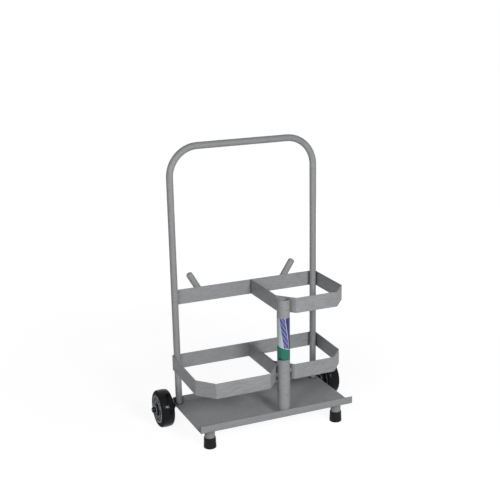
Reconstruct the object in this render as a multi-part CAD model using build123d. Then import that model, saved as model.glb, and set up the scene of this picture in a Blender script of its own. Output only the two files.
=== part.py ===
from build123d import *
import os
from math import cos, hypot, radians, sin

# Welding trolley for one oxygen and one acetylene cylinder: a bent tube back frame stands in a
# folded sheet tray, flat-bar hoops hold the two cylinders, a rod tube nests between the hoops,
# and the tray rests on two rubber-tipped feet in front and two wheels behind.
# Millimetres. +Z up, the cylinders stand on the -Y side of the uprights, +X is the right-hand
# side seen from the front. The origin is on the floor, under the middle of the overall box.

# ---------------------------------------------------------------- driving dimensions
# Back frame: one tube bent into a U
tube_od = 22.2
tube_wall = 1.6
upright_spacing = 500.0
handle_height = 926.0
handle_bend_radius = 95.0

# Folded tray
sheet = 2.5
sheet_bend_inside = 1.0
tray_width = 536.0
tray_reach = 253.0
front_lip_height = 24.5
back_lip_height = 20.5

# Flat-bar hoops
bar_thickness = 3.0
bar_height = 50.0
bar_bend_inside = 2.5
corner_run_x = 47.0
corner_run_y = 56.0
upper_bar_base = 411.5
lower_bar_base = 189.0
upper_hoop_reach = 238.5
upper_divider_x = 25.5
upper_bar_overhang = 3.0
left_hoop_reach = 277.5
left_hoop_flare = 6.6
right_hoop_reach = 238.5
right_hoop_toe_in = 8.4
lower_seam_x = 14.0
rod_tube_weld_gap = 5.0

# Rod tube
rod_tube_od = 41.3
rod_tube_wall = 2.6
rod_tube_x = 29.0
rod_tube_top = 461.0

# Hose pegs
peg_od = 22.2
peg_length = 104.0
peg_top = 508.0
peg_round = 8.0
left_peg_x = -190.8
left_peg_lean = -30.0
right_peg_x = 184.5
right_peg_lean = 33.5

# Feet
foot_tube_od = 33.7
foot_tube_wall = 2.0
foot_inset = 42.0
foot_setback = 38.0
foot_tip_top_od = 38.0
foot_tip_base_od = 41.0
foot_tip_height = 36.0
foot_tip_floor = 7.0
foot_tip_base_edge = 2.0
foot_tip_mouth_edge = 1.0

# Axle and what it carries
axle_d = 10.0
axle_end_depth = 7.0
spacer_od = 20.0
washer_od = 24.0
washer_thickness = 1.5
cap_od = 20.0
cap_length = 11.0
cap_dome = 3.5

# Wheels
wheel_od = 127.0
tyre_width = 44.0
tyre_shoulder = 10.5
tyre_crown = 0.9
wheel_clear_of_tray = 16.0
disc_od = 94.0
disc_edge_set_in = 0.5
disc_face_set_in = 4.0
disc_wall = 4.0
rim_bead = 6.5
cup_depth = 16.0
cup_od = 46.0
cup_collar = 5.0
hub_od = 32.0
hub_proud_outside = 4.5
hub_proud_inside = 4.0
disc_hole_d = 7.0
disc_hole_pitch_d = 68.5
disc_hole_count = 5
rib_thickness = 3.0
rib_set_in = 7.0
bush_od = 18.0

# Clearances
weld_gap = 0.1
butt_gap = 0.3
seat_gap = 0.05
slide_gap = 0.1
axle_running_gap = 0.075
wheel_side_gap = 0.4

# ---------------------------------------------------------------- places worked out from them
tube_r = tube_od / 2
wheel_r = wheel_od / 2
rod_tube_r = rod_tube_od / 2
peg_r = peg_od / 2

front_reach = max(left_hoop_reach, right_hoop_reach, upper_hoop_reach, tray_reach)
upright_x = upright_spacing / 2
upright_y = (front_reach - wheel_r) / 2

axle_z = wheel_r
tray_base = axle_z + axle_d / 2 + weld_gap
tray_floor = tray_base + sheet

bar_mid = tube_r + weld_gap + bar_thickness / 2
back_bar_y = upright_y + bar_mid
back_bar_front = back_bar_y - bar_thickness / 2
back_bar_rear = back_bar_y + bar_thickness / 2

tray_front = upright_y - tray_reach
rod_tube_y = tray_front + sheet + sheet_bend_inside + rod_tube_r + weld_gap
foot_x = tray_width / 2 - foot_inset
foot_y = tray_front + foot_setback
wheel_centre_x = tray_width / 2 + wheel_clear_of_tray + tyre_width / 2


# ---------------------------------------------------------------- shared shapes
def bent_plate(points, thickness, inside_radius, width, width_axis):
    """Plate of one thickness folded along a line of points, with a round bend at each fold."""
    path = FilletPolyline(*points, radius=inside_radius + thickness / 2)
    section = Plane(origin=path @ 0, x_dir=width_axis, z_dir=path % 0) * Rectangle(width, thickness)
    return sweep(section, path=path)


def round_tube(path, outside_d, wall):
    """Hollow tube that follows a path."""
    section = Circle(outside_d / 2) - Circle(outside_d / 2 - wall)
    return sweep(Plane(origin=path @ 0, z_dir=path % 0) * section, path=path)


def upright_tube(x, y, bottom, top, outside_d, wall):
    """Hollow tube standing straight up."""
    return round_tube(Line((x, y, bottom), (x, y, top)), outside_d, wall)


def sleeve(start, end, outside_r, bore_r):
    """Plain ring on the X axis between two places."""
    ring = Circle(outside_r) - Circle(bore_r)
    return extrude(Plane(origin=(start, 0, 0), z_dir=(1, 0, 0)) * ring, amount=end - start)


def on_axle(part):
    """Moves a part that was made on the X axis to the axle's line."""
    return Pos(0, upright_y, axle_z) * part


def both_sides(name, right_part):
    """Gives the right-hand part and its mirror image their node names."""
    return {name + "_right": right_part, name + "_left": mirror(right_part, about=Plane.YZ)}


# ---------------------------------------------------------------- back frame
def handle_frame():
    """The back frame: both uprights and the top bar are one tube with two bends."""
    foot = tray_floor + sheet_bend_inside
    path = FilletPolyline(
        (-upright_x, upright_y, foot),
        (-upright_x, upright_y, handle_height),
        (upright_x, upright_y, handle_height),
        (upright_x, upright_y, foot),
        radius=handle_bend_radius,
    )
    return round_tube(path, tube_od, tube_wall)


# ---------------------------------------------------------------- tray
def base_tray():
    """Sheet folded up along the front and the back; both ends stay open."""
    middle = tray_base + sheet / 2
    front = tray_front + sheet / 2
    back = upright_y + tube_r + weld_gap + sheet / 2
    points = [
        (0, front, tray_base + front_lip_height),
        (0, front, middle),
        (0, back, middle),
        (0, back, tray_base + back_lip_height),
    ]
    return bent_plate(points, sheet, sheet_bend_inside, tray_width, (1, 0, 0))


# ---------------------------------------------------------------- hoops
def rod_tube_corner(side, gap, divider_x, front_y):
    """The two folds of the cut corner that passes the rod tube, on the side given by its sign."""
    slant = hypot(corner_run_x, corner_run_y)
    reach = rod_tube_r + gap + bar_thickness / 2
    near_x = rod_tube_x + side * reach * corner_run_y / slant
    near_y = rod_tube_y + reach * corner_run_x / slant
    divider_y = near_y + side * (near_x - divider_x) * corner_run_y / corner_run_x
    front_x = near_x + side * (near_y - front_y) * corner_run_x / corner_run_y
    return (divider_x, divider_y), (front_x, front_y)


def hoop_outline(side, reach, splay, divider_x, gap):
    """Middle line of a hoop from its divider's rear end round to the back corner.

    The side wall touches the upright and drifts outward by splay on its way to the front."""
    front_y = upright_y - reach + bar_thickness / 2
    divider_fold, front_fold = rod_tube_corner(side, gap, divider_x, front_y)
    fold_y = front_y + corner_run_y
    wall_x = upright_x + bar_mid
    drift = splay / (upright_y - fold_y)
    fold_x = side * (wall_x + splay)
    rear_x = side * (wall_x - drift * (back_bar_y - upright_y))
    return [
        (divider_x, back_bar_front - butt_gap),
        divider_fold,
        front_fold,
        (fold_x - side * corner_run_x, front_y),
        (fold_x, fold_y),
        (rear_x, back_bar_y),
    ]


def hoop(outline, end_x, base):
    """Flat bar on edge that follows an outline and then runs along the back to end_x."""
    level = base + bar_height / 2
    points = [(x, y, level) for x, y in outline + [(end_x, back_bar_y)]]
    return bent_plate(points, bar_thickness, bar_bend_inside, bar_height, (0, 0, 1))


def upper_hoop():
    """Right-hand hoop whose back run crosses both uprights."""
    outline = hoop_outline(1, upper_hoop_reach, 0, upper_divider_x, rod_tube_weld_gap)
    return hoop(outline, -upright_x - upper_bar_overhang, upper_bar_base)


def lower_hoop(side, reach, splay):
    """One of the two lower hoops; their dividers and back runs meet at the seam."""
    divider_x = lower_seam_x + side * (bar_thickness + butt_gap) / 2
    outline = hoop_outline(side, reach, splay, divider_x, butt_gap)
    return hoop(outline, lower_seam_x + side * butt_gap / 2, lower_bar_base)


# ---------------------------------------------------------------- rod tube and hose pegs
def rod_tube():
    """Open-topped tube that holds the filler rods and stands on the tray."""
    floor = tray_floor + weld_gap
    return upright_tube(rod_tube_x, rod_tube_y, floor, rod_tube_top, rod_tube_od, rod_tube_wall)


def hose_peg(tip_x, lean):
    """Round peg lapped on the rear of the upper bar; it leans outward and its end is rounded."""
    peg = extrude(Circle(peg_r), amount=peg_length)
    peg = fillet(peg.edges().sort_by(Axis.Z)[-1], radius=peg_round)
    peg = Rot(0, lean, 0) * (Pos(0, 0, -peg_length) * peg)
    return Pos(tip_x, back_bar_rear + weld_gap + peg_r, peg_top) * peg


# ---------------------------------------------------------------- feet
def foot_tube():
    """Short leg welded under the tray."""
    return upright_tube(foot_x, foot_y, foot_tip_floor, tray_base - weld_gap, foot_tube_od,
                        foot_tube_wall)


def foot_tip():
    """Rubber ferrule: a tapered cup that the leg is pushed into."""
    base_r = foot_tip_base_od / 2
    body = Pos(0, 0, foot_tip_height / 2) * Cone(base_r, foot_tip_top_od / 2, foot_tip_height)
    body = fillet(body.edges().group_by(Axis.Z)[0], radius=foot_tip_base_edge)
    body = fillet(body.edges().group_by(Axis.Z)[-1], radius=foot_tip_mouth_edge)
    socket_floor = foot_tip_floor - seat_gap
    socket = extrude(Circle(foot_tube_od / 2 + seat_gap), amount=foot_tip_height)
    body -= Pos(0, 0, socket_floor) * socket
    return Pos(foot_x, foot_y, 0) * body


# ---------------------------------------------------------------- axle line, right-hand side
disc_outer_end = wheel_centre_x + tyre_width / 2 + hub_proud_outside
disc_inner_end = wheel_centre_x - tyre_width / 2 - hub_proud_inside
inner_washer_out = disc_inner_end - wheel_side_gap
inner_washer_in = inner_washer_out - washer_thickness
spacer_in = tray_width / 2 + weld_gap
spacer_out = inner_washer_in - weld_gap
outer_washer_in = disc_outer_end + wheel_side_gap
outer_washer_out = outer_washer_in + washer_thickness
cap_in = outer_washer_out + weld_gap
axle_end = cap_in + axle_end_depth


def axle():
    """Straight bar welded under the tray; it carries both wheels."""
    return on_axle(Rot(0, 90, 0) * Cylinder(axle_d / 2, 2 * axle_end))


def axle_ring(start, end, outside_d):
    """Spacer or washer that slides on the axle."""
    return on_axle(sleeve(start, end, outside_d / 2, axle_d / 2 + slide_gap))


def axle_cap():
    """Domed push-on cap that keeps the wheel on the axle."""
    open_end = Plane(origin=(cap_in, 0, 0), z_dir=(1, 0, 0))
    cap = extrude(open_end * Circle(cap_od / 2), amount=cap_length)
    cap = fillet(cap.edges().sort_by(Axis.X)[-1], radius=cap_dome)
    socket = extrude(open_end * Circle(axle_d / 2 + seat_gap), amount=axle_end_depth + seat_gap)
    return on_axle(cap - socket)


# ---------------------------------------------------------------- wheels
def spun(profile):
    """Turns a profile, drawn as distance along the axle and radius, into a wheel part."""
    return on_axle(Pos(wheel_centre_x, 0, 0) * revolve(profile, axis=Axis.X))


def tyre():
    """Solid rubber tyre with a lightly crowned tread and round shoulders."""
    half = tyre_width / 2
    seat = disc_od / 2 + seat_gap
    edge_r = wheel_r - tyre_crown
    crown = ThreePointArc((half, edge_r), (0, wheel_r), (-half, edge_r))
    sides = Polyline((-half, edge_r), (-half, seat), (half, seat), (half, edge_r))
    profile = make_face(Curve() + [crown, sides])
    shoulders = profile.vertices().sort_by(Axis.Y)[-2:]
    return spun(fillet(shoulders, radius=tyre_shoulder))


def wheel_disc():
    """Moulded wheel centre: hub in a cup, grooved web with round holes, rim, ribs behind it."""
    half = tyre_width / 2
    edge = half - disc_edge_set_in
    face = half - disc_face_set_in
    bore_r = bush_od / 2 + seat_gap
    hub_r = hub_od / 2
    cup_r = cup_od / 2
    collar_r = cup_r + cup_collar
    rim_r = disc_od / 2
    drum_r = rim_r - disc_wall
    bead_r = rim_r - rim_bead
    cup_floor = edge - cup_depth
    outline = Polyline(
        (-half - hub_proud_inside, bore_r),
        (half + hub_proud_outside, bore_r),
        (half + hub_proud_outside, hub_r),
        (cup_floor, hub_r),
        (cup_floor, cup_r),
        (edge, cup_r),
        (edge, collar_r),
        (face, collar_r),
        (face, bead_r),
        (edge, bead_r),
        (edge, rim_r),
        (-edge, rim_r),
        (-edge, drum_r),
        (face - disc_wall, drum_r),
        (face - disc_wall, cup_r + disc_wall),
        (cup_floor - disc_wall, cup_r + disc_wall),
        (cup_floor - disc_wall, hub_r),
        (-half - hub_proud_inside, hub_r),
        close=True,
    )
    disc = spun(make_face(outline))
    hole_start_x = wheel_centre_x + face - 2 * disc_wall
    hole_start = Plane(origin=(hole_start_x, 0, 0), x_dir=(0, 0, -1), z_dir=(1, 0, 0))
    hole = Circle(disc_hole_d / 2)
    for place in PolarLocations(disc_hole_pitch_d / 2, disc_hole_count):
        disc -= on_axle(extrude(hole_start * (place * hole), amount=3 * disc_wall))
    rib_back = -edge + rib_set_in
    rib_start = (rib_back, 0, hub_r - disc_wall / 2)
    rib_length = face - disc_wall / 2 - rib_back
    rib_height = drum_r - hub_r + disc_wall
    rib = Box(rib_length, rib_thickness, rib_height, align=(Align.MIN, Align.CENTER, Align.MIN))
    cup = Pos(cup_floor - disc_wall / 2, 0, 0) * Rot(0, 90, 0) * extrude(
        Circle(cup_r + disc_wall / 2), amount=half
    )
    rib = Pos(rib_start) * rib - cup
    for turn in range(disc_hole_count):
        rib_angle = 180 + (turn + 0.5) * 360 / disc_hole_count
        disc += on_axle(Pos(wheel_centre_x, 0, 0) * Rot(rib_angle, 0, 0) * rib)
    return disc


def hub_bush():
    """Plain bearing sleeve fixed in the hub; it runs on the axle."""
    bush = sleeve(disc_inner_end, disc_outer_end, bush_od / 2, axle_d / 2 + axle_running_gap)
    return on_axle(bush)


# ---------------------------------------------------------------- all nodes
nodes = {
    "handle_frame": handle_frame(),
    "base_tray": base_tray(),
    "upper_hoop": upper_hoop(),
    "lower_hoop_left": lower_hoop(-1, left_hoop_reach, left_hoop_flare),
    "lower_hoop_right": lower_hoop(1, right_hoop_reach, -right_hoop_toe_in),
    "rod_tube": rod_tube(),
    "hose_peg_left": hose_peg(left_peg_x, left_peg_lean),
    "hose_peg_right": hose_peg(right_peg_x, right_peg_lean),
    "axle": axle(),
}
nodes.update(both_sides("foot_tube", foot_tube()))
nodes.update(both_sides("foot_tip", foot_tip()))
nodes.update(both_sides("axle_spacer", axle_ring(spacer_in, spacer_out, spacer_od)))
nodes.update(both_sides("inner_washer", axle_ring(inner_washer_in, inner_washer_out, washer_od)))
nodes.update(both_sides("outer_washer", axle_ring(outer_washer_in, outer_washer_out, washer_od)))
nodes.update(both_sides("axle_cap", axle_cap()))
nodes.update(both_sides("tyre", tyre()))
nodes.update(both_sides("wheel_disc", wheel_disc()))
nodes.update(both_sides("hub_bush", hub_bush()))

os.makedirs("parts", exist_ok=True)
for name, part in nodes.items():
    export_step(part, "parts/" + name + ".step")
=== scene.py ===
from math import cos, hypot, pi, radians, sin, tan

import bmesh
import bpy
import numpy as np
from mathutils import Euler, Matrix, Vector


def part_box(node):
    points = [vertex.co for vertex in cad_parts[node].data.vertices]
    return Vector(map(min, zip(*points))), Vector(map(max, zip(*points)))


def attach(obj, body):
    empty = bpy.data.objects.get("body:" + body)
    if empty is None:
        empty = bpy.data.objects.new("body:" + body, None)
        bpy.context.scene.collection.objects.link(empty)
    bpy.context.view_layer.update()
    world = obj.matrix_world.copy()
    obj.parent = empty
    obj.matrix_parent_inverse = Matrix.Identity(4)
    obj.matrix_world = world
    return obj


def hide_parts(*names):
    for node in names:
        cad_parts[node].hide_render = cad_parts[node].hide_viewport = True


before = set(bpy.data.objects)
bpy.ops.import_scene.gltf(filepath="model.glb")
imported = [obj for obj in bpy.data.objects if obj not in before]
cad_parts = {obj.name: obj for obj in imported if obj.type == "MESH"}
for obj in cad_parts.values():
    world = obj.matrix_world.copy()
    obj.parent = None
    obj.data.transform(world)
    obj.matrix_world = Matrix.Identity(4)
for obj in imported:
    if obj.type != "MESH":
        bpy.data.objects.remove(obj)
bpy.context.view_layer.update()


# ---- Stoving enamel --------------------------------------------------------------------------
# Every steel piece of the trolley is welded up first and then sprayed with one coat of light
# grey stoving enamel. It gives a satin, faintly rippled skin, thin and rubbed along the edges
# of the flat bar and the sheet, with a little dust lying in the ripples.

def shade(code):
    """An sRGB hex code as a linear colour: each channel goes through the sRGB decoding curve."""
    channel = np.array([int(code[i:i + 2], 16) for i in (1, 3, 5)]) / 255
    linear = np.where(channel <= 0.04045, channel / 12.92, ((channel + 0.055) / 1.055) ** 2.4)
    return (*linear.tolist(), 1.0)


def add(tree, kind, sockets=None, **settings):
    """Adds a shader node with its settings, and sets or links its input sockets.

    A value that is itself a node stands for that node's first output in use."""
    node = tree.nodes.new("ShaderNode" + kind)
    for key, value in settings.items():
        setattr(node, key, value)
    for key, value in (sockets or {}).items():
        if isinstance(value, bpy.types.Node):
            value = next(output for output in value.outputs if output.enabled)
        if isinstance(value, bpy.types.NodeSocket):
            tree.links.new(value, node.inputs[key])
        else:
            node.inputs[key].default_value = value
    return node


def new_finish(name):
    """An empty material and its node tree."""
    finish = bpy.data.materials.new(name)
    finish.use_nodes = True
    finish.node_tree.nodes.clear()
    return finish, finish.node_tree


enamel, tree = new_finish("grey stoving enamel on mild steel")
place = add(tree, "TexCoord").outputs["Object"]

# slow changes of tone over about 150 mm, where the spray went on thicker
cloud = add(tree, "TexNoise", {"Vector": place, "Scale": 6.5, "Detail": 3.0, "Roughness": 0.55})
coat = add(tree, "Mix", {"Factor": cloud, "A": shade("#9C9D9F"), "B": shade("#A8A9AC")},
           data_type="RGBA")

# speckle of settled dust, drawn coarser than it is, about 4 mm apart, so that it shows
grain = add(tree, "TexNoise", {"Vector": place, "Scale": 230.0, "Detail": 3.0, "Roughness": 0.7})
speck = add(tree, "MapRange", {"Value": grain, "From Min": 0.46, "From Max": 0.72, "To Min": 0.0,
                               "To Max": 0.62})
dusted = add(tree, "Mix", {"Factor": speck, "A": coat, "B": shade("#7C7D80")}, data_type="RGBA")

# rolling lines of the flat bar, about 2.5 mm high and 30 mm long, show through the coat at the
# two heights where the hoops run
stretch = add(tree, "Mapping", {"Vector": place, "Scale": (33.0, 33.0, 400.0)})
rolling = add(tree, "TexNoise", {"Vector": stretch, "Scale": 1.0, "Detail": 2.0})
line_tone = add(tree, "MapRange", {"Value": rolling, "From Min": 0.34, "From Max": 0.66, "To Min": 0.89,
                                   "To Max": 1.11})
spot = add(tree, "SeparateXYZ", {"Vector": place})
on_bars = []
for node in ("upper_hoop", "lower_hoop_left"):
    low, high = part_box(node)
    middle = (low[2] + high[2]) / 2
    on_bars.append(add(tree, "Math", {0: spot.outputs["Z"], 1: middle, 2: (high[2] - low[2]) / 2},
                       operation="COMPARE"))
on_bar = add(tree, "Math", {0: on_bars[0], 1: on_bars[1]}, operation="ADD")
rolled = add(tree, "Mix", {"Factor": on_bar, "A": dusted, "B": line_tone}, data_type="RGBA",
             blend_type="MULTIPLY")

# the coat is thin on cut edges: bare steel shows in short nicks about 4 mm long
edge = add(tree, "Attribute", attribute_name="edge")
nick = add(tree, "TexNoise", {"Vector": place, "Scale": 210.0, "Detail": 3.0, "Roughness": 0.65})
nicked = add(tree, "MapRange", {"Value": nick, "From Min": 0.60, "From Max": 0.66})
bare = add(tree, "Math", {0: nicked, 1: edge.outputs["Fac"]}, operation="MULTIPLY")
worn = add(tree, "Mix", {"Factor": bare, "A": rolled, "B": shade("#6E6C69")}, data_type="RGBA")

# painted shade low down, which thins out over the lowest 100 mm, and painted shade on the top bar
# and round its bends
low_painted_shade = add(tree, "MapRange", {"Value": spot.outputs["Z"], "From Min": 0.100, "From Max": 0.030,
                                "To Min": 0.0, "To Max": 0.40})
top_bar_painted_shade = add(tree, "MapRange", {"Value": spot.outputs["Z"], "From Min": 0.880, "From Max": 0.915,
                              "To Min": 0.0, "To Max": 0.32})
low_and_top_shade = add(tree, "Math", {0: low_painted_shade, 1: top_bar_painted_shade}, operation="MAXIMUM")
shaded_low_and_top = add(tree, "Mix", {"Factor": low_and_top_shade, "A": worn, "B": shade("#7C7D80")}, data_type="RGBA")

# painted shade in the corners between the uprights and the inner faces of the flat bars: darkest
# where they touch, gone 10 mm from the tube; to_tube is the length of (|x| - upright_x,
# y - upright_y)
tube_low, tube_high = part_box("handle_frame")
tube_r = (tube_high[1] - tube_low[1]) / 2
upright_x = tube_high[0] - tube_r
upright_y = (tube_high[1] + tube_low[1]) / 2
either_side = add(tree, "Math", {0: spot.outputs["X"]}, operation="ABSOLUTE")
plan = add(tree, "CombineXYZ", {"X": either_side, "Y": spot.outputs["Y"]})
to_tube = add(tree, "VectorMath", {0: plan, 1: (upright_x, upright_y, 0.0)}, operation="DISTANCE")
tube_corner_shade = add(tree, "MapRange", {"Value": to_tube, "From Min": tube_r + 0.0002,
                                "From Max": tube_r + 0.010, "To Min": 0.92, "To Max": 0.0})
off_tube = add(tree, "Math", {0: to_tube, 1: tube_r + 0.00015}, operation="GREATER_THAN")
inside_wall = add(tree, "Math", {0: either_side, 1: upright_x + tube_r + 0.001}, operation="LESS_THAN")

# the same painted shade in the corner on the left of the upper divider, over 5 mm of the back bar
divider_left = 0.0240
divider_corner_shade = add(tree, "MapRange", {"Value": spot.outputs["X"], "From Min": divider_left - 0.005,
                              "From Max": divider_left, "To Min": 0.0, "To Max": 0.85})
left_of_it = add(tree, "Math", {0: spot.outputs["X"], 1: divider_left + 0.0001}, operation="LESS_THAN")
at_back = add(tree, "Math", {0: spot.outputs["Y"], 1: upright_y + tube_r - 0.003},
              operation="GREATER_THAN")

# and painted shade in the slits beside the rod tube, on the faces of the lower hoops' cut corners:
# how far a point lies along the face's outward direction tells that face from the rest of the bar
rod_low, rod_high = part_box("rod_tube")
rod_r = (rod_high[0] - rod_low[0]) / 2
rod_x = (rod_high[0] + rod_low[0]) / 2
rod_y = (rod_high[1] + rod_low[1]) / 2
corner_run_x = 0.047
corner_run_y = 0.056
slant = hypot(corner_run_x, corner_run_y)
from_rod = add(tree, "VectorMath", {0: place, 1: (1.0, 1.0, 0.0), 2: (-rod_x, -rod_y, 0.0)},
               operation="MULTIPLY_ADD")
to_rod = add(tree, "VectorMath", {0: from_rod}, operation="LENGTH")
outward = []
for side in (-1, 1):
    facing = (side * corner_run_y / slant, corner_run_x / slant, 0.0)
    outward.append(add(tree, "VectorMath", {0: from_rod, 1: facing}, operation="DOT_PRODUCT"))
farther = add(tree, "Math", {0: outward[0], 1: outward[1]}, operation="MAXIMUM")
on_face = add(tree, "Math", {0: farther, 1: rod_r + 0.00075, 2: 0.0007}, operation="COMPARE")
rod_slit_shade = add(tree, "MapRange", {"Value": to_rod, "From Min": rod_r + 0.003, "From Max": rod_r + 0.010,
                              "To Min": 0.85, "To Max": 0.0})

# each painted shade counts only where all its masks do, and the darkest is what is seen
deepest_shade = 0.0
for shade_share, *masks in ((tube_corner_shade, off_tube, inside_wall), (divider_corner_shade, left_of_it, at_back, on_bars[0]),
                     (rod_slit_shade, on_face, on_bars[1])):
    for mask in masks:
        shade_share = add(tree, "Math", {0: shade_share, 1: mask}, operation="MULTIPLY")
    deepest_shade = add(tree, "Math", {0: deepest_shade, 1: shade_share}, operation="MAXIMUM")
inside_back = add(tree, "Math", {0: spot.outputs["Y"], 1: upright_y + tube_r + 0.001},
                  operation="LESS_THAN")
below_top = add(tree, "Math", {0: spot.outputs["Z"], 1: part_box("upper_hoop")[1][2] + 0.001},
                operation="LESS_THAN")
for mask in (inside_back, below_top):
    deepest_shade = add(tree, "Math", {0: deepest_shade, 1: mask}, operation="MULTIPLY")
# the painted shade of all these corners darkens the coat towards #434345
corner_shaded = add(tree, "Mix", {"Factor": deepest_shade, "A": shaded_low_and_top, "B": shade("#434345")}, data_type="RGBA")

# orange peel of the sprayed coat, ripples about 2 mm across, and patches of duller skin
peel = add(tree, "TexNoise", {"Vector": place, "Scale": 480.0, "Detail": 1.0})
relief = add(tree, "Bump", {"Height": peel, "Strength": 0.20, "Distance": 0.0004})
dull = add(tree, "TexNoise", {"Vector": place, "Scale": 38.0, "Detail": 4.0, "Roughness": 0.6})
skin = add(tree, "MapRange", {"Value": dull, "From Min": 0.3, "From Max": 0.7, "To Min": 0.44,
                              "To Max": 0.60})
surface = add(tree, "BsdfPrincipled", {"Base Color": corner_shaded, "Roughness": skin, "Normal": relief,
                                       "IOR": 1.5, "Specular IOR Level": 0.42})
add(tree, "OutputMaterial", {"Surface": surface})


# ---- Back frame ------------------------------------------------------------------------------
# One length of round steel tube, bent twice on a former: both uprights and the top bar that
# the hands hold. Its cut ends stand on the tray inside the back lip and are welded there.

def quads_between(number):
    """The quads between neighbours in a grid of vertex numbers."""
    corners = [number[:-1, :-1], number[:-1, 1:], number[1:, 1:], number[1:, :-1]]
    return np.stack(corners, axis=-1).reshape(-1, 4).tolist()


def skin_of(name, grid, body, replaced, finish, around=True, ends="open", edge=None):
    """Makes a piece from a grid of points [along, across].

    The grid closes on itself across if around is true, and along if ends is "ring"; with ends
    "capped" the first and last row are closed by one flat face each. The edge values, from 0 to
    1, say how far each point lies on a rubbed edge."""
    rows, columns = grid.shape[:2]
    number = np.arange(rows * columns).reshape(rows, columns)
    if around:
        number = np.concatenate([number, number[:, :1]], axis=1)
    if ends == "ring":
        number = np.concatenate([number, number[:1]], axis=0)
    faces = quads_between(number)
    if ends == "capped":
        first = np.arange(columns)
        faces += [first[::-1].tolist(), (first + (rows - 1) * columns).tolist()]
    mesh = bpy.data.meshes.new(name)
    mesh.from_pydata(grid.reshape(-1, 3), [], faces)
    if edge is not None:
        worn_edge = np.broadcast_to(edge, (rows, columns)).astype(np.float32).ravel()
        mesh.attributes.new("edge", "FLOAT", "POINT").data.foreach_set("value", worn_edge)
    return finish_piece(name, mesh, body, replaced, finish)


def finish_piece(name, mesh, body, replaced, finish):
    """Closes the poles, turns the faces outwards, smooths them, and puts the piece on its body in
    its finish."""
    made = bmesh.new()
    made.from_mesh(mesh)
    bmesh.ops.remove_doubles(made, verts=made.verts, dist=1e-7)
    bmesh.ops.recalc_face_normals(made, faces=made.faces)
    made.to_mesh(mesh)
    made.free()
    mesh.shade_smooth()
    mesh.set_sharp_from_angle(angle=radians(50))
    mesh.materials.append(finish)
    piece = bpy.data.objects.new(name, mesh)
    bpy.context.scene.collection.objects.link(piece)
    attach(piece, body)
    if replaced:
        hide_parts(*replaced)
    return piece


def bent_line(corners, radius, steps):
    """Points and headings of a line with a circular arc at each corner.

    Each arc starts and ends at radius * tan(half the turn) from its corner. It is divided
    evenly by angle, and a point close to either end keeps the straight runs flat."""
    corners = np.array(corners, float)
    places = [corners[0]]
    headings = [corners[1] - corners[0]]
    for before, corner, after in zip(corners[:-2], corners[1:-1], corners[2:]):
        inward = (corner - before) / np.linalg.norm(corner - before)
        outward = (after - corner) / np.linalg.norm(after - corner)
        turn = np.arccos(np.clip(inward @ outward, -1, 1))
        inside = outward - (outward @ inward) * inward
        inside /= np.linalg.norm(inside)
        start = corner - inward * radius * tan(turn / 2)
        centre = start + inside * radius
        angle = np.linspace(0, turn, steps + 1)[:, None]
        arc = centre - inside * radius * np.cos(angle) + inward * radius * np.sin(angle)
        along = inward * np.cos(angle) + inside * np.sin(angle)
        lead = 0.04 * radius
        places += [arc[:1] - inward * lead, arc, arc[-1:] + outward * lead]
        headings += [along[:1], along, along[-1:]]
    places.append(corners[-1])
    headings.append(corners[-1] - corners[-2])
    places = np.vstack(places)
    headings = np.vstack(headings)
    return places, headings / np.linalg.norm(headings, axis=1, keepdims=True)


def carried(profile, places, headings, level):
    """Carries a flat profile along a line: place + first * (heading x level) + second * level."""
    aside = np.cross(headings, level)
    across = profile[None, :, :1] * aside[:, None]
    return places[:, None] + across + profile[None, :, 1:] * np.array(level)


def circle(radius, count):
    """Points of a circle: radius * (cos, sin) of evenly spaced angles."""
    angle = np.linspace(0, 2 * pi, count, endpoint=False)
    return radius * np.stack([np.cos(angle), np.sin(angle)], axis=-1)


top_bar_z = tube_high[2] - tube_r
places, headings = bent_line(
    [(-upright_x, upright_y, tube_low[2]), (-upright_x, upright_y, top_bar_z),
     (upright_x, upright_y, top_bar_z), (upright_x, upright_y, tube_low[2])],
    radius=0.095, steps=28)
skin_of("back_frame_tube", carried(circle(tube_r, 48), places, headings, (0, 1, 0)), "frame",
        ["handle_frame"], enamel, ends="capped")


# ---- Tray ------------------------------------------------------------------------------------
# One steel sheet, guillotined and folded up along the front and the back on a press brake, so
# its bends are tight and its cut edges square with the burr just broken. Both ends are open.

def barred(width, thickness, rounding):
    """Outline of a flat bar with broken edges, and how much of an edge each point is.

    Each corner is a quarter circle in four steps, with a point close by on each flat."""
    outline = []
    edge = []
    quarter = np.linspace(0, pi / 2, 5)
    near = rounding * 0.35
    for corner, (sx, sy) in enumerate([(1, 1), (-1, 1), (-1, -1), (1, -1)]):
        cx = sx * (thickness / 2 - rounding)
        cy = sy * (width / 2 - rounding)
        angle = corner * pi / 2 + quarter
        arc = np.stack([cx + rounding * np.cos(angle), cy + rounding * np.sin(angle)], axis=-1)
        first = arc[:1] + near * np.array([[sin(angle[0]), -cos(angle[0])]])
        last = arc[-1:] + near * np.array([[-sin(angle[-1]), cos(angle[-1])]])
        outline += [first, arc, last]
        edge += [0.0, 0.6, 1.0, 1.0, 1.0, 0.6, 0.0]
    return np.vstack(outline), np.array(edge)


tray_low, tray_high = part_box("base_tray")
sheet = 0.0025
front_fold_y = tray_low[1] + sheet / 2
back_fold_y = tray_high[1] - sheet / 2
back_lip_top = tray_low[2] + 0.0205
places, headings = bent_line(
    [(0, front_fold_y, tray_high[2]), (0, front_fold_y, tray_low[2] + sheet / 2),
     (0, back_fold_y, tray_low[2] + sheet / 2), (0, back_fold_y, back_lip_top)],
    radius=0.001 + sheet / 2, steps=8)
outline, edge = barred(tray_high[0] - tray_low[0], sheet, 0.0006)
skin_of("sheet_tray", carried(outline, places, headings, (1, 0, 0)), "frame", ["base_tray"],
        enamel, ends="capped", edge=edge)


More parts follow.
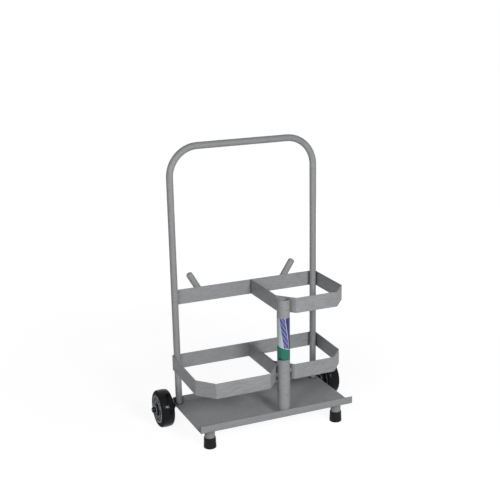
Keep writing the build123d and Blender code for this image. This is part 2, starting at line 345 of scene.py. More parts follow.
# ---- Hoops -----------------------------------------------------------------------------------
# Flat steel bar, 50 by 3, folded cold on edge round the places of the two cylinders. The upper
# one is a single length that also ties the uprights together; the lower two stand back to back.

bar = 0.003
fold = 0.0025 + bar / 2
hairline = 0.0001
back_bar_front = upright_y + tube_r + hairline
back_bar_y = back_bar_front + bar / 2
wall_x = upright_x + tube_r + hairline + bar / 2


def hoop_corners(node, side, splay, divider_x, gap, end_x):
    """Corners of a hoop's middle line, from the divider's rear end round to end_x at the back.

    The cut corner by the rod tube lies at the tube's radius plus the gap from its centre; the
    outer cut corner has the same slope; the side wall drifts outwards by splay to the front."""
    low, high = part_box(node)
    front_y = low[1] + bar / 2
    reach = rod_r + gap + bar / 2
    near_x = rod_x + side * reach * corner_run_y / slant
    near_y = rod_y + reach * corner_run_x / slant
    divider_y = near_y + side * (near_x - divider_x) * corner_run_y / corner_run_x
    front_x = near_x + side * (near_y - front_y) * corner_run_x / corner_run_y
    fold_y = front_y + corner_run_y
    fold_x = side * (wall_x + splay)
    drift = splay / (upright_y - fold_y)
    rear_x = side * (wall_x - drift * (back_bar_y - upright_y))
    level = (low[2] + high[2]) / 2
    plan = [(divider_x, back_bar_front - 0.0003), (divider_x, divider_y), (front_x, front_y),
            (fold_x - side * corner_run_x, front_y), (fold_x, fold_y), (rear_x, back_bar_y),
            (end_x, back_bar_y)]
    return [(x, y, level) for x, y in plan]


outline, edge = barred(0.050, bar, 0.0006)
upper_low, upper_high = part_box("upper_hoop")
left_low, left_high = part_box("lower_hoop_left")
seam_x = 0.014
left_end = seam_x - 0.00015
right_end = seam_x + 0.00015

# for each bar: its node, its side, how far its wall drifts outwards, where its divider stands,
# its gap to the rod tube, and where it ends at the back
hoops = {
    "upper_hoop_bar": ("upper_hoop", 1, 0.0, divider_left + bar / 2, 0.005, upper_low[0]),
    "lower_hoop_bar_left": ("lower_hoop_left", -1, 0.0066, left_end - bar / 2, 0.0003, left_end),
    "lower_hoop_bar_right": ("lower_hoop_right", 1, -0.0084, right_end + bar / 2, 0.0003, right_end),
}
for name, (node, side, splay, divider_x, gap, end_x) in hoops.items():
    places, headings = bent_line(hoop_corners(node, side, splay, divider_x, gap, end_x), fold, 8)
    skin_of(name, carried(outline, places, headings, (0, 0, 1)), "frame", [node], enamel,
            ends="capped", edge=edge)


# ---- Rod tube and foot tubes -----------------------------------------------------------------
# Lengths of round steel tube sawn square and deburred: the tall one keeps filler rods and is
# open at the top, the two short ones are the front legs under the tray.

def turned(profile, foot, axis, count=64):
    """Turns a profile of (radius, height) round an axis: foot + height * axis + radius * ring.

    The ring is cos(angle) * first + sin(angle) * second, two directions square to the axis."""
    axis = np.array(axis, float)
    axis /= np.linalg.norm(axis)
    second = np.cross(axis, (0.0, 1.0, 0.0) if abs(axis[1]) < 0.9 else (1.0, 0.0, 0.0))
    second /= np.linalg.norm(second)
    first = np.cross(second, axis)
    angle = np.linspace(0, 2 * pi, count, endpoint=False)
    ring = np.cos(angle)[:, None] * first + np.sin(angle)[:, None] * second
    profile = np.array(profile, float)
    return np.array(foot) + profile[:, None, 1:] * axis + profile[:, None, :1] * ring


def rounded(points, radii, steps=5):
    """A closed outline with its corners rounded: each is a quadratic curve whose ends lie radius
    away from the corner, with a point close by on each side to keep the flats flat."""
    points = np.array(points, float)
    share = np.linspace(0, 1, steps + 1)[:, None]
    smooth = []
    for before, corner, after, radius in zip(np.roll(points, 1, 0), points, np.roll(points, -1, 0),
                                             radii):
        if radius == 0:
            smooth.append(corner[None])
            continue
        back = (before - corner) / np.linalg.norm(before - corner)
        on = (after - corner) / np.linalg.norm(after - corner)
        start = corner + back * radius
        end = corner + on * radius
        curve = (1 - share) ** 2 * start + 2 * share * (1 - share) * corner + share ** 2 * end
        smooth += [start[None] + back * radius * 0.2, curve, end[None] + on * radius * 0.2]
    return np.vstack(smooth)


def open_tube(name, node, wall):
    """A sawn tube: its wall's section, with the burr broken at both ends, turned round the axis.
    Only its upper rim is worn."""
    low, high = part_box(node)
    outer = (high[0] - low[0]) / 2
    tall = high[2] - low[2]
    section = rounded([(outer, 0), (outer, tall), (outer - wall, tall), (outer - wall, 0)],
                      [0.0006] * 4)
    foot = ((low[0] + high[0]) / 2, (low[1] + high[1]) / 2, low[2])
    worn_rim = (section[:, 1] > tall - 0.0007)[:, None]
    return skin_of(name, turned(section, foot, (0, 0, 1)), "frame", [node], enamel,
                   ends="ring", edge=worn_rim)


open_tube("filler_rod_tube", "rod_tube", 0.0026)
for hand in ("left", "right"):
    open_tube("leg_tube_" + hand, "foot_tube_" + hand, 0.002)


# ---- Hose pegs -------------------------------------------------------------------------------
# Short ends of round bar, lapped and welded on the rear of the upper back bar, leaning outwards
# so that coiled hoses stay on. The end is faced and its rim chamfered.

peg_r = 0.0111
peg_length = 0.104
peg_round = 0.008
peg_lean = {"left": radians(30.0), "right": radians(33.5)}
peg_tip = {}
for hand, side in (("left", -1), ("right", 1)):
    lean = peg_lean[hand]
    low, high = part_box("hose_peg_" + hand)
    outer_x = high[0] if side > 0 else low[0]
    nose_reach = peg_round * (1 - sin(lean)) + (peg_r - peg_round) * cos(lean)
    tip_z = low[2] + peg_r * sin(lean) + peg_length * cos(lean)
    peg_tip[hand] = np.array([outer_x - side * nose_reach, (low[1] + high[1]) / 2, tip_z])
    axis = np.array([side * sin(lean), 0, cos(lean)])
    foot = peg_tip[hand] - axis * peg_length
    angle = np.linspace(0, pi / 2, 14)
    nose = np.stack([peg_r - peg_round + peg_round * np.cos(angle),
                     peg_length - peg_round + peg_round * np.sin(angle)], axis=-1)
    half_section = np.vstack([[(0.0, 0.0), (peg_r - 0.0004, 0.0), (peg_r, 0.0004),
                               (peg_r, peg_length - peg_round - 0.0004)], nose, [(0.0, peg_length)]])
    skin_of("hose_peg_bar_" + hand, turned(half_section, foot, axis, 40), "frame", ["hose_peg_" + hand],
            enamel)


# ---- Weld beads ------------------------------------------------------------------------------
# Arc-welded fillets laid by hand before painting: short raised runs with the crescent ripples of
# a weave every 1.8 mm, fading out at both ends. They hide the hairline gaps between the pieces.

def bead(line, radius, closed=False):
    """A weld run along a line of points, divided every 0.45 mm. Each ring's radius is radius * fade
    * ripple: the ripple is 0.90 + 0.10 * |sin|, and the fade closes the last 1.6 radii at both
    ends as a quarter ellipse."""
    line = np.array(line, float)
    gone = np.r_[0, np.cumsum(np.linalg.norm(np.diff(line, axis=0), axis=1))]
    count = max(int(gone[-1] / 0.00045), 8)
    run = np.linspace(0, gone[-1], count, endpoint=not closed)
    centre = np.stack([np.interp(run, gone, line[:, k]) for k in range(3)], axis=-1)
    if closed:
        heading = np.roll(centre, -1, 0) - np.roll(centre, 1, 0)
        fade = np.ones(count)
    else:
        heading = np.gradient(centre, axis=0)
        off = np.minimum(run, gone[-1] - run) / (1.6 * radius)
        fade = np.sqrt(np.clip(1 - (1 - np.clip(off, 0.04, 1)) ** 2, 0, 1))
    heading /= np.linalg.norm(heading, axis=1, keepdims=True)
    helper = np.where(np.abs(heading[:, 2:]) > 0.7, [[1.0, 0, 0]], [[0, 0, 1.0]])
    first = np.cross(heading, helper)
    first /= np.linalg.norm(first, axis=1, keepdims=True)
    second = np.cross(heading, first)
    angle = np.linspace(0, 2 * pi, 12, endpoint=False)
    ripple = 0.90 + 0.10 * np.abs(np.sin(pi * run / 0.0018 + 0.4 * np.sin(run / 0.0031)))
    size = (radius * fade * ripple)[:, None, None]
    ring = np.cos(angle)[None, :, None] * first[:, None] + np.sin(angle)[None, :, None] * second[:, None]
    return centre[:, None] + size * ring, closed


def weld(name, beads):
    """Joins several weld runs in one piece; each run is a closed skin of its own."""
    points = []
    faces = []
    start = 0
    for grid, closed in beads:
        rows, columns = grid.shape[:2]
        number = start + np.arange(rows * columns).reshape(rows, columns)
        caps = [] if closed else [number[0].tolist(), number[-1].tolist()]
        number = np.concatenate([number, number[:, :1]], axis=1)
        if closed:
            number = np.concatenate([number, number[:1]], axis=0)
        faces += quads_between(number) + caps
        points.append(grid.reshape(-1, 3))
        start += rows * columns
    mesh = bpy.data.meshes.new(name)
    mesh.from_pydata(np.vstack(points), [], faces)
    return finish_piece(name, mesh, "frame", [], enamel)


def ring_line(x, y, z, radius):
    """Points of a level circle, closed on itself."""
    angle = np.linspace(0, 2 * pi, 73)
    return np.stack([x + radius * np.cos(angle), y + radius * np.sin(angle), z + 0 * angle], axis=-1)


def upright_bead(x, y, low, high, radius=0.0019):
    """A bead that runs straight up at x, y from the height low to the height high."""
    return bead([(x, y, low), (x, y, high)], radius)


tray_floor = tray_low[2] + sheet

# tacks at the foot and head of each back bar, in the nooks that it forms with the uprights; nook
# is how far inwards of the tube's middle they lie
nook = 0.0076
runs = []
for low, high in ((upper_low, upper_high), (left_low, left_high)):
    for x in (nook - upright_x, upright_x - nook):
        y = back_bar_front - 0.0010
        runs.append(upright_bead(x, y, low[2] + 0.002, low[2] + 0.014))
        runs.append(upright_bead(x, y, high[2] - 0.014, high[2] - 0.002))
weld("upright_welds", runs)

# beads in the dividers' corners at the back bar, one over the seam behind, and three along the
# top of the seam between the two lower dividers
corner_beads = ((upper_low, upper_high, divider_left + bar + 0.0008),
                (left_low, left_high, seam_x - 0.0040), (left_low, left_high, seam_x + 0.0040))
runs = [upright_bead(x, back_bar_front - 0.0008, low[2] + 0.002, high[2] - 0.002)
        for low, high, x in corner_beads]
seam_y = back_bar_front + bar + hairline
seam_z = left_high[2] - 0.0006
runs.append(upright_bead(seam_x, seam_y, left_low[2] + 0.002, left_high[2] - 0.002, 0.0022))
for start in (0.085, 0.0, -0.060):
    runs.append(bead([(seam_x, start, seam_z), (seam_x, start - 0.018, seam_z)], 0.0020))
weld("divider_welds", runs)


def beside_rod_tube(side, along, out):
    """A point out from the rod tube's axis across a cut corner and along that corner:
    out * (side * run_y, run_x) / slant + along * (side * run_x, -run_y) / slant."""
    return (rod_x + side * (out * corner_run_y + along * corner_run_x) / slant,
            rod_y + (out * corner_run_x - along * corner_run_y) / slant)


# two beads on each lower cut corner: along, out, radius, and the heights of foot and head above
# the bar's lower edge
runs = []
rear_run = (-0.0090, rod_r - 0.0006, 0.0018, 0.003, 0.047)
tack = {-1: (0.0105, rod_r - 0.0012, 0.0026, 0.012, 0.026),
        1: (0.0160, rod_r - 0.0038, 0.0040, 0.023, 0.037)}
for side in (-1, 1):
    for along, out, radius, foot_z, head_z in (rear_run, tack[side]):
        x, y = beside_rod_tube(side, along, out)
        runs.append(upright_bead(x, y, left_low[2] + foot_z, left_low[2] + head_z, radius))

# one that bridges the gap to the upper hoop, and one round the tube's foot
x, y = beside_rod_tube(1, 0.0, rod_r + 0.0025)
runs.append(upright_bead(x, y, upper_low[2] + 0.021, upper_high[2] - 0.004, 0.0030))
runs.append(bead(ring_line(rod_x, rod_y, tray_floor + 0.0006, rod_r + 0.0004), 0.0020, closed=True))
weld("rod_tube_welds", runs)

# round the uprights' feet as far as the back lip, up the lip beside them, round the heads of the
# legs, and four pairs of runs along the axle
runs = []
for hand, side in (("left", -1), ("right", 1)):
    foot_ring = ring_line(side * upright_x, upright_y, tray_floor + 0.0006, tube_r + 0.0004)
    runs.append(bead(foot_ring[foot_ring[:, 1] < back_fold_y - 0.003], 0.0019))
    for offset in (-nook, nook):
        runs.append(upright_bead(side * upright_x + offset, back_bar_front - 0.0010, tray_floor + 0.001,
                                 back_lip_top - 0.001, 0.0018))
    leg_low, leg_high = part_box("foot_tube_" + hand)
    leg_r = (leg_high[0] - leg_low[0]) / 2
    leg_x = (leg_high[0] + leg_low[0]) / 2
    leg_y = (leg_high[1] + leg_low[1]) / 2
    runs.append(bead(ring_line(leg_x, leg_y, tray_low[2] - 0.0006, leg_r + 0.0004), 0.0020,
                     closed=True))
axle_low, axle_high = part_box("axle")
axle_y = (axle_low[1] + axle_high[1]) / 2
axle_z = (axle_low[2] + axle_high[2]) / 2
axle_seam_z = tray_low[2] - 0.0008
for x in (-0.235, -0.095, 0.065, 0.205):
    for y in (axle_y - 0.0044, axle_y + 0.0044):
        runs.append(bead([(x, y, axle_seam_z), (x + 0.030, y, axle_seam_z)], 0.0018))
weld("tray_welds", runs)

# each peg has a bead along either side of its lap, from near its foot to 10 mm below the top of
# the bar
runs = []
for hand, side in (("left", -1), ("right", 1)):
    lean = peg_lean[hand]
    axis = np.array([side * sin(lean), 0, cos(lean)])
    across = np.array([cos(lean), 0, -side * sin(lean)])
    tip = np.array([peg_tip[hand][0], seam_y + 0.0008, peg_tip[hand][2]])
    over_bar = (tip[2] - upper_high[2]) / cos(lean)
    for offset in (-0.0072, 0.0072):
        edge_line = tip + across * offset
        head = edge_line - axis * (over_bar + 0.010)
        foot = edge_line - axis * (peg_length - 0.003)
        runs.append(bead([head, foot], 0.0020))
weld("peg_welds", runs)


# ---- Label -----------------------------------------------------------------------------------
# A printed vinyl sticker wrapped round the front of the rod tube. It carries slanting bands, one
# of them hatched, and no lettering; it is glossier than the paint and slightly scuffed.

vinyl, tree = new_finish("printed vinyl sticker")
split = add(tree, "SeparateXYZ", {"Vector": add(tree, "UVMap", uv_map="label")})
across = split.outputs["X"]
up = split.outputs["Y"]

# eight slanting strokes over the height, with strokes and gaps of about 9 mm
slanting = add(tree, "Math", {0: across, 1: 0.75, 2: up}, operation="MULTIPLY_ADD")
hatching = add(tree, "Math", {0: slanting, 1: 50.0}, operation="MULTIPLY")
wave = add(tree, "Math", {0: hatching}, operation="SINE")
ink = add(tree, "Math", {0: wave, 1: 0.0}, operation="GREATER_THAN")
hatched = add(tree, "Mix", {"Factor": ink, "A": shade("#383C8C"), "B": shade("#8084B6")},
              data_type="RGBA")

# upright bands from left to right, each leaning by 0.30, and level bands from the top down, each
# rising by 0.16; every band covers all that lies beyond its edge
pale_line = shade("#D3D9DB")
deep_blue = shade("#1B1F62")
field = shade("#C8D8DA")
leaning = add(tree, "Math", {0: up, 1: 0.30, 2: across}, operation="MULTIPLY_ADD")
for start, tint in ((0.56, pale_line), (0.60, hatched), (0.86, pale_line), (0.89, deep_blue)):
    beyond = add(tree, "Math", {0: leaning, 1: start}, operation="GREATER_THAN")
    field = add(tree, "Mix", {"Factor": beyond, "A": field, "B": tint}, data_type="RGBA")
rising = add(tree, "Math", {0: across, 1: 0.16, 2: up}, operation="MULTIPLY_ADD")
for top, tint in ((0.385, pale_line), (0.365, shade("#08745F")), (0.09, deep_blue)):
    under = add(tree, "Math", {0: rising, 1: top}, operation="LESS_THAN")
    field = add(tree, "Mix", {"Factor": under, "A": field, "B": tint}, data_type="RGBA")

# scuffs about 4 mm apart dull the print, and slow wrinkles bend the sheen
place = add(tree, "TexCoord").outputs["Object"]
scuff = add(tree, "TexNoise", {"Vector": place, "Scale": 260.0, "Detail": 4.0, "Roughness": 0.7})
scuffed = add(tree, "MapRange", {"Value": scuff, "From Min": 0.56, "From Max": 0.72, "To Min": 0.0,
                                 "To Max": 0.25})
faded = add(tree, "Mix", {"Factor": scuffed, "A": field, "B": shade("#A9B0B4")}, data_type="RGBA")
gloss = add(tree, "MapRange", {"Value": scuff, "From Min": 0.3, "From Max": 0.7, "To Min": 0.28,
                               "To Max": 0.46})
wrinkle = add(tree, "TexNoise", {"Vector": place, "Scale": 90.0, "Detail": 2.0})
relief = add(tree, "Bump", {"Height": wrinkle, "Strength": 0.15, "Distance": 0.0004})
surface = add(tree, "BsdfPrincipled", {"Base Color": faded, "Roughness": gloss, "Normal": relief})
add(tree, "OutputMaterial", {"Surface": surface})

# a patch of a cylinder: the angle runs across and the height runs up, and so do the shares of
# the width and the height that place the print
rows = 25
columns = 49
angle = np.radians(np.linspace(-205, -22, columns))
height = np.linspace(0.2625, 0.4034, rows)
label_r = rod_r + 0.00018
patch = np.stack([np.broadcast_to(rod_x + label_r * np.cos(angle), (rows, columns)),
                  np.broadcast_to(rod_y + label_r * np.sin(angle), (rows, columns)),
                  np.broadcast_to(height[:, None], (rows, columns))], axis=-1)
label = skin_of("tube_label", patch, "frame", [], vinyl, around=False)
shares = np.meshgrid(np.linspace(0, 1, columns), np.linspace(0, 1, rows))
flat = np.stack(shares, axis=-1).reshape(-1, 2)
loop_vertex = np.zeros(len(label.data.loops), int)
label.data.loops.foreach_get("vertex_index", loop_vertex)
label.data.uv_layers.new(name="label").data.foreach_set("uv", flat[loop_vertex].ravel())

# the film is 0.1 mm thick, measured inwards from the print
film = label.modifiers.new("film", "SOLIDIFY")
film.thickness = 0.0001
film.offset = -1.0


# ---- Ferrules --------------------------------------------------------------------------------
# Moulded rubber cups pushed on the legs, wider at the floor. Two shallow rings run round the
# cup, the mould's draft gives the taper, and the foot's edge is rounded.

def black_goods(name, dark, pale, low_rough, high_rough, grit_mm, depth, shine, rubbed=None):
    """A black moulded material: its tone wanders between two colours in patches of 20 mm, and a
    fine grain of the given size gives its bump. Where the "edge" attribute is 1, its skin is
    polished to the rubbed roughness."""
    finish, tree = new_finish(name)
    place = add(tree, "TexCoord").outputs["Object"]
    patchy = add(tree, "TexNoise", {"Vector": place, "Scale": 50.0, "Detail": 4.0, "Roughness": 0.6})
    span = add(tree, "MapRange", {"Value": patchy, "From Min": 0.32, "From Max": 0.72})
    tone = add(tree, "Mix", {"Factor": span, "A": shade(dark), "B": shade(pale)}, data_type="RGBA")
    rough = add(tree, "MapRange", {"Value": patchy, "From Min": 0.3, "From Max": 0.7,
                                   "To Min": low_rough, "To Max": high_rough})
    if rubbed is not None:
        edge = add(tree, "Attribute", attribute_name="edge")
        rough = add(tree, "Mix", {"Factor": edge.outputs["Fac"], "A": rough, "B": rubbed})
    grit = add(tree, "TexNoise", {"Vector": place, "Scale": 1000.0 / grit_mm, "Detail": 2.0})
    relief = add(tree, "Bump", {"Height": grit, "Strength": 0.3, "Distance": depth})
    surface = add(tree, "BsdfPrincipled", {"Base Color": tone, "Roughness": rough, "Normal": relief,
                                           "IOR": 1.5, "Specular IOR Level": shine})
    add(tree, "OutputMaterial", {"Surface": surface})
    return finish


ferrule_rubber = black_goods("moulded ferrule rubber", "#141316", "#212023", 0.42, 0.62, 1.6, 0.0003,
                             0.16)
base_r = 0.0205
mouth_r = 0.0190
bore = 0.0169
floor_of_cup = 0.007
for hand in ("left", "right"):
    low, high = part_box("foot_tip_" + hand)
    tall = high[2] - low[2]
    slope = (base_r - mouth_r) / tall
    ring_cuts = []
    for h in (0.013, 0.021):
        groove_r = base_r - slope * h - 0.0005
        ring_cuts += [(base_r - slope * (h - 0.0016), h - 0.0016), (groove_r, h - 0.0008),
                      (groove_r, h + 0.0008), (base_r - slope * (h + 0.0016), h + 0.0016)]
    corners = [(0.0, 0.0), (base_r, 0.0), *ring_cuts, (mouth_r, tall), (bore, tall),
               (bore, floor_of_cup), (0.0, floor_of_cup)]
    section = rounded(corners, [0, 0.0026, *([0.0005] * 8), 0.0013, 0.0006, 0, 0])
    centre = ((low[0] + high[0]) / 2, (low[1] + high[1]) / 2, low[2])
    skin_of("ferrule_" + hand, turned(section, centre, (0, 0, 1)), "frame", ["foot_tip_" + hand],
            ferrule_rubber)


# ---- Tyres -----------------------------------------------------------------------------------
# Solid black rubber, moulded in two halves: a smooth, slightly crowned tread with the mould's
# parting line in the middle, full round shoulders, and a low bead ring on each sidewall.

tyre_rubber = black_goods("solid tyre rubber", "#0C0D0F", "#17191C", 0.70, 0.88, 1.2, 0.00010, 0.13,
                         rubbed=0.11)
wheel_r = 0.0635
half = 0.022
seat_r = 0.04705
shoulder = 0.0105
droop = 0.0009

# half of the section as (radius, place across): bead ring, shoulder's quarter circle, crown that
# falls as droop * (place / half tread)^2, and the raised parting line; the other half mirrors it
half_tread = half - shoulder
sidewall = [(seat_r, 0.0016 - half), (seat_r + 0.0006, 0.0004 - half), (seat_r + 0.0016, -half),
            (seat_r + 0.0026, 0.0002 - half), (seat_r + 0.0032, 0.0006 - half),
            (seat_r + 0.0036, 0.0004 - half)]
angle = np.linspace(0, pi / 2, 14)
arc = np.stack([wheel_r - droop - shoulder + shoulder * np.sin(angle),
                -half_tread - shoulder * np.cos(angle)], axis=-1)
spread = np.linspace(-half_tread, 0, 12)[1:-1]
crown = np.stack([wheel_r - droop * (spread / half_tread) ** 2, spread], axis=-1)
parting = [(wheel_r - 0.00005, -0.0009), (wheel_r, -0.0005), (wheel_r, 0.0)]
outer_half = np.vstack([sidewall, arc, crown, parting])
section = np.vstack([outer_half, (outer_half[:-1] * [1, -1])[::-1]])

# rolling has polished the outermost 3 mm, and the last of them wholly
tread = np.clip((section[:, 0] - wheel_r + 0.0030) / 0.0020, 0, 1)[:, None]
for hand in ("left", "right"):
    low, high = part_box("tyre_" + hand)
    middle_x = (low[0] + high[0]) / 2
    skin_of("rubber_tyre_" + hand, turned(section, (middle_x, axle_y, axle_z), (1, 0, 0), 128),
            "wheel_" + hand, ["tyre_" + hand], tyre_rubber, ends="ring", edge=tread)


# ---- Wheel discs -----------------------------------------------------------------------------
# One moulding of pale grey polypropylene for each wheel: rim, web with five holes, ribs on the
# inner side, a recess round the hub. Moulded skin, slightly cloudy, with painted shade in the recess.

polypropylene, tree = new_finish("moulded grey polypropylene")
place = add(tree, "TexCoord").outputs["Object"]
flow = add(tree, "TexNoise", {"Vector": place, "Scale": 160.0, "Detail": 4.0, "Roughness": 0.62,
                              "Distortion": 0.8})
tone = add(tree, "MapRange", {"Value": flow, "From Min": 0.40, "From Max": 0.66})
body_tone = add(tree, "Mix", {"Factor": tone, "A": shade("#6E7277"), "B": shade("#D2D6DB")},
                data_type="RGBA")

# by distance from the axle, in mm: pale hub, painted shade that blackens the recess, pale collar,
# darker groove, and the rim at the plain tone
from_axle = add(tree, "Mapping", {"Vector": place, "Location": (0.0, -axle_y, -axle_z)})
flat_place = add(tree, "VectorMath", {0: from_axle, 1: (0.0, 1.0, 1.0)}, operation="MULTIPLY")
radial = add(tree, "VectorMath", {0: flat_place}, operation="LENGTH")
outward = add(tree, "MapRange", {"Value": radial, "From Min": 0.0, "From Max": 0.050})
recess_shade_ramp = add(tree, "ValToRGB", {"Fac": outward})
zones = [(0.0, "#F4F4F4"), (12.6, "#F4F4F4"), (13.6, "#6C6E70"), (16.3, "#2A2B2C"),
         (22.6, "#2A2B2C"), (23.6, "#F0F0F0"), (27.6, "#F0F0F0"), (28.6, "#BDBFC1"),
         (39.8, "#BDBFC1"), (41.0, "#FFFFFF")]
while len(recess_shade_ramp.color_ramp.elements) < len(zones):
    recess_shade_ramp.color_ramp.elements.new(0.5)
for stop, (distance, tint) in zip(recess_shade_ramp.color_ramp.elements, zones):
    stop.position = distance / 50
    stop.color = shade(tint)
tone_with_recess_shade = add(tree, "Mix", {"Factor": 1.0, "A": body_tone, "B": recess_shade_ramp}, data_type="RGBA",
              blend_type="MULTIPLY")
matt = add(tree, "MapRange", {"Value": flow, "From Min": 0.3, "From Max": 0.7, "To Min": 0.50,
                              "To Max": 0.70})
fine = add(tree, "TexNoise", {"Vector": place, "Scale": 700.0, "Detail": 1.0})
relief = add(tree, "Bump", {"Height": fine, "Strength": 0.2, "Distance": 0.0003})
surface = add(tree, "BsdfPrincipled", {"Base Color": tone_with_recess_shade, "Roughness": matt, "Normal": relief,
                                       "IOR": 1.49, "Specular IOR Level": 0.20})
add(tree, "OutputMaterial", {"Surface": surface})


def softened(name, node, body, finish, width):
    """A merged copy of a solid with its sharp edges rounded off by a narrow bevel."""
    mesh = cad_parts[node].data.copy()
    mesh.name = name
    made = bmesh.new()
    made.from_mesh(mesh)
    bmesh.ops.remove_doubles(made, verts=made.verts, dist=1e-6)
    bmesh.ops.dissolve_limit(made, angle_limit=radians(1), verts=made.verts, edges=made.edges)
    made.to_mesh(mesh)
    made.free()
    mesh.materials.clear()
    piece = finish_piece(name, mesh, body, [node], finish)
    rounding = piece.modifiers.new("moulded edges", "BEVEL")
    rounding.width = width
    rounding.segments = 2
    rounding.limit_method = "ANGLE"
    rounding.angle_limit = radians(40)
    rounding.harden_normals = True
    return piece


for hand in ("left", "right"):
    softened("wheel_moulding_" + hand, "wheel_disc_" + hand, "wheel_" + hand,
             polypropylene, 0.0005)


# ---- Axle, washers, spacers, bushes and caps -------------------------------------------------
# A bright zinc-plated bar and washers; black moulded spacers and domed push-on caps; the bushes
# are dark acetal. Only the caps, the spacers and the washers' rims are seen on the finished cart.

zinc, tree = new_finish("bright zinc plate on steel")
place = add(tree, "TexCoord").outputs["Object"]
bloom = add(tree, "TexNoise", {"Vector": place, "Scale": 120.0, "Detail": 4.0, "Roughness": 0.65})
plate = add(tree, "Mix", {"Factor": bloom, "A": shade("#7E8083"), "B": shade("#A0A2A5")},
            data_type="RGBA")
brushed = add(tree, "MapRange", {"Value": bloom, "From Min": 0.3, "From Max": 0.7, "To Min": 0.40,
                                 "To Max": 0.55})
drawn = add(tree, "TexNoise", {"Vector": place, "Scale": 800.0, "Detail": 1.0})
relief = add(tree, "Bump", {"Height": drawn, "Strength": 0.1, "Distance": 0.0002})
surface = add(tree, "BsdfPrincipled", {"Base Color": plate, "Metallic": 1.0, "Roughness": brushed,
                                       "Normal": relief})
add(tree, "OutputMaterial", {"Surface": surface})

# the spacers' black is deeper and duller than the caps': painted shade for the deep shade between the
# left wheel and the tray's end
spacer_nylon_and_shade = black_goods("matt black nylon deepened as painted shade", "#0A0A0B", "#121213", 0.85, 0.95, 1.4, 0.0001, 0.04)
black_nylon = black_goods("black moulded nylon", "#0D0D0E", "#171719", 0.18, 0.32, 1.4, 0.0001, 0.18)
acetal = black_goods("dark acetal", "#232324", "#2E2E30", 0.30, 0.45, 1.4, 0.0001, 0.40)


def dress(node, finish):
    """Gives a solid that shows as it is its real finish."""
    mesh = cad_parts[node].data
    mesh.materials.clear()
    mesh.materials.append(finish)


dress("axle", zinc)
dome_r = 0.0048
dome_tall = 0.0038
bore = 0.00605
bore_deep = 0.0055
for hand, side in (("left", -1), ("right", 1)):
    dress("inner_washer_" + hand, zinc)
    dress("outer_washer_" + hand, zinc)
    dress("hub_bush_" + hand, acetal)
    dress("axle_spacer_" + hand, spacer_nylon_and_shade)
    low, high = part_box("axle_cap_" + hand)
    cap_r = (high[1] - low[1]) / 2
    cap_long = high[0] - low[0]
    start_x = low[0] if side > 0 else high[0]
    angle = np.linspace(0, pi / 2, 14)
    dome = np.stack([cap_r - dome_r + dome_r * np.cos(angle),
                     cap_long - dome_tall + dome_tall * np.sin(angle)], axis=-1)
    section = np.vstack([[(0.0, bore_deep), (bore, bore_deep), (bore, 0.0004), (bore + 0.0004, 0.0),
                          (cap_r - 0.0006, 0.0), (cap_r - 0.0001, 0.0003), (cap_r, 0.0008),
                          (cap_r, cap_long - 0.0042)], dome, [(0.0, cap_long)]])
    skin_of("axle_cap_dome_" + hand, turned(section, (start_x, axle_y, axle_z), (side, 0, 0), 48),
            "frame", ["axle_cap_" + hand], black_nylon)


# ---- Floor, light and camera -----------------------------------------------------------------
# A wide pale studio floor, two soft lamps in front, a low one behind that the skins don't
# mirror, and a pale surround.

def seen_rays(tree):
    """1 for a ray that comes from the camera, from a gloss or through a clear piece, else 0."""
    ray = add(tree, "LightPath").outputs
    mirrored = add(tree, "Math", {0: ray["Is Glossy Ray"], 1: ray["Is Transmission Ray"]},
                   operation="MAXIMUM")
    return add(tree, "Math", {0: ray["Is Camera Ray"], 1: mirrored}, operation="MAXIMUM")


white = shade("#FFFFFF")
floor_finish, tree = new_finish("pale studio floor")
seen = seen_rays(tree)
seen_tone = add(tree, "Mix", {"Factor": seen, "A": shade("#D2D2D2"), "B": shade("#848484")},
                data_type="RGBA")
matt_white = add(tree, "BsdfDiffuse", {"Color": seen_tone})
place = add(tree, "TexCoord").outputs["Object"]
away = add(tree, "VectorMath", {0: place}, operation="LENGTH")
paler = add(tree, "MapRange", {"Value": away, "From Min": 0.5, "From Max": 2.2, "To Min": 0.91,
                               "To Max": 0.99})
bright = add(tree, "Math", {0: seen, 1: paler}, operation="MULTIPLY")
glow = add(tree, "Emission", {"Color": white, "Strength": bright})
both = add(tree, "AddShader", {0: matt_white, 1: glow})
add(tree, "OutputMaterial", {"Surface": both})
reach = np.linspace(-14, 14, 9)
across, along = np.meshgrid(reach, reach)
floor_points = np.stack([across, along, np.full_like(across, -0.0004)], axis=-1).reshape(-1, 3)
number = np.arange(across.size).reshape(across.shape)
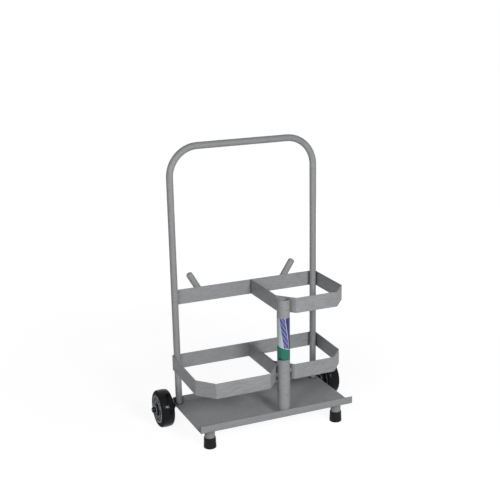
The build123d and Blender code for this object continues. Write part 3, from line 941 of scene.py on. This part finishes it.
floor_mesh = bpy.data.meshes.new("studio_floor")
floor_mesh.from_pydata(floor_points, [], quads_between(number))
floor_mesh.materials.append(floor_finish)
floor = bpy.data.objects.new("studio_floor", floor_mesh)
bpy.context.scene.collection.objects.link(floor)

world = bpy.data.worlds.new("pale surround")
world.use_nodes = True
tree = world.node_tree
tree.nodes.clear()
surround = add(tree, "Background", {"Color": shade("#F4F6F8"), "Strength": 0.03})
backdrop = add(tree, "Background", {"Color": white, "Strength": 1.0})
chosen = add(tree, "MixShader", {0: seen_rays(tree), 1: surround, 2: backdrop})
add(tree, "OutputWorld", {"Surface": chosen})
bpy.context.scene.world = world


def lamp(name, place, aim, size, power):
    """A square soft lamp that stands at a place and faces the point it is aimed at."""
    light = bpy.data.lights.new(name, "AREA")
    light.shape = "SQUARE"
    light.size = size
    light.energy = power
    holder = bpy.data.objects.new(name, light)
    bpy.context.scene.collection.objects.link(holder)
    facing = (Vector(place) - Vector(aim)).to_track_quat("Z", "Y")
    holder.matrix_world = Matrix.LocRotScale(Vector(place), facing, None)
    return holder


hoops_middle = (0.0, 0.0, 0.42)
lamp("left_lamp", (-1.92, -1.92, 1.69), hoops_middle, 0.7, 21.0)
lamp("front_lamp", (0.26, -2.77, 1.54), hoops_middle, 0.7, 46.0)
rear_lamp = lamp("rear_lamp", (2.50, 2.20, 0.32), hoops_middle, 0.5, 42.0)
rear_lamp.visible_glossy = False

# a standing viewer's eye, 1.4 m up and 3.1 m away, looking down by 18 degrees from the front left
lens = bpy.data.cameras.new("camera")
lens.sensor_width = 36.0
lens.lens = 71.709
lens.shift_x = -0.0281
lens.shift_y = 0.0804
camera = bpy.data.objects.new("camera", lens)
bpy.context.scene.collection.objects.link(camera)
tilt = radians(72.344)
roll = radians(0.799)
heading = radians(-24.423)
camera.matrix_world = Matrix.LocRotScale(Vector((-1.238547, upright_y - 2.908569, 1.434999)),
                                         Euler((tilt, roll, heading)), None)
bpy.context.scene.camera = camera
bpy.context.scene.view_settings.view_transform = "Standard"
